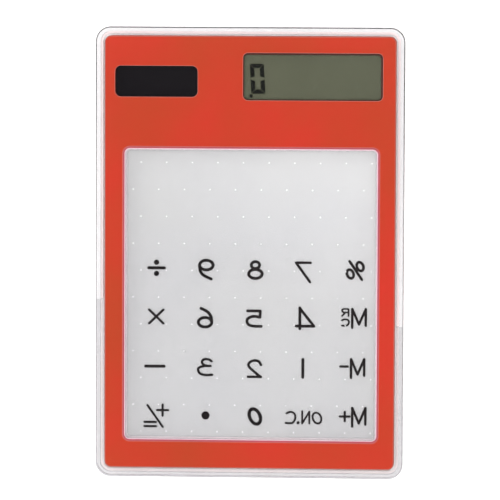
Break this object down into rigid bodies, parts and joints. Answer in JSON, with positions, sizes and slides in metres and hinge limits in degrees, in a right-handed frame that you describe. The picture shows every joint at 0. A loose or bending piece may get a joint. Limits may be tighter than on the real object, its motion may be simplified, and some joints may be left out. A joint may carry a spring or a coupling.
{
  "type": "pocket calculator",
  "caption": "Slim see-through solar calculator: clear two-part case, red inner frame, clear touch keypad with printed legends, display window and solar cell window, lying on its front face.",
  "frame": {"origin": "middle of the front face, on the surface that it lies on", "axes": "+Z is the outward normal of the rear face, +Y points along the length to the display end, +X across the width"},
  "size_m": [0.082, 0.12, 0.0064],
  "materials": {
    "clear_case": "clear moulded acrylic, polished",
    "red_frame": "red moulded plastic, satin",
    "polyester_film": "clear hard-coated polyester",
    "adhesive_frame": "translucent adhesive tape, pinkish against the frame",
    "insulating_dots": "cured clear insulating resin",
    "touch_glass": "clear conductive glass",
    "silver_print": "printed silver conductor",
    "foam": "soft black foam",
    "pale_foam": "soft pale grey foam",
    "flex_tail": "amber flexible circuit",
    "legend_ink": "black screen-printed ink",
    "polariser": "grey-green polarising film",
    "lcd_glass": "clear glass",
    "lcd_seal": "cured epoxy",
    "crystal": "dark switched crystal",
    "zebra_rubber": "layered silicone rubber",
    "board": "green solder mask on glass-epoxy board",
    "epoxy_black": "black epoxy",
    "capacitor_body": "moulded yellow chip body",
    "diode_body": "clear red epoxy",
    "resistor_body": "black overglaze",
    "white_tape": "double-sided tape",
    "solar_glass": "dark tinted glass",
    "silicon": "amorphous silicon",
    "black_coat": "black resin coat",
    "copper": "tinned copper strip",
    "solder": "solder",
    "clear_block": "clear cast acrylic, polished faces and ground edges",
    "bead": "translucent adhesive, pinkish against the frame"
  },
  "bodies": {
    "root": {"rear_cover": "clear_case", "front_cover": "clear_case", "rear_frame": "red_frame", "front_frame": "red_frame", "touch_film": "polyester_film", "touch_gasket": "adhesive_frame", "touch_spacer_dots": "insulating_dots", "touch_glass_base": "touch_glass", "touch_silver_bars": "silver_print", "touch_cushion": "pale_foam", "touch_tail": "flex_tail", "key_legends": "legend_ink", "lcd_front_tape": "foam", "lcd_front_polariser": "polariser", "lcd_front_glass": "lcd_glass", "lcd_seal": "lcd_seal", "lcd_segments": "crystal", "lcd_rear_glass": "lcd_glass", "lcd_rear_polariser": "polariser", "lcd_cushion": "foam", "zebra_strip": "zebra_rubber", "circuit_board": "board", "chip_blob": "epoxy_black", "storage_capacitor": "capacitor_body", "clamp_diode": "diode_body", "chip_resistors": "resistor_body", "board_tape": "white_tape", "solar_tape": "foam", "solar_glass": "solar_glass", "solar_strips": "silicon", "solar_backing": "black_coat", "solar_cushion": "foam", "solar_leads": "copper", "solder_joints": "solder", "window_block": "clear_block", "window_bead": "bead"}
  },
  "joints": []
}
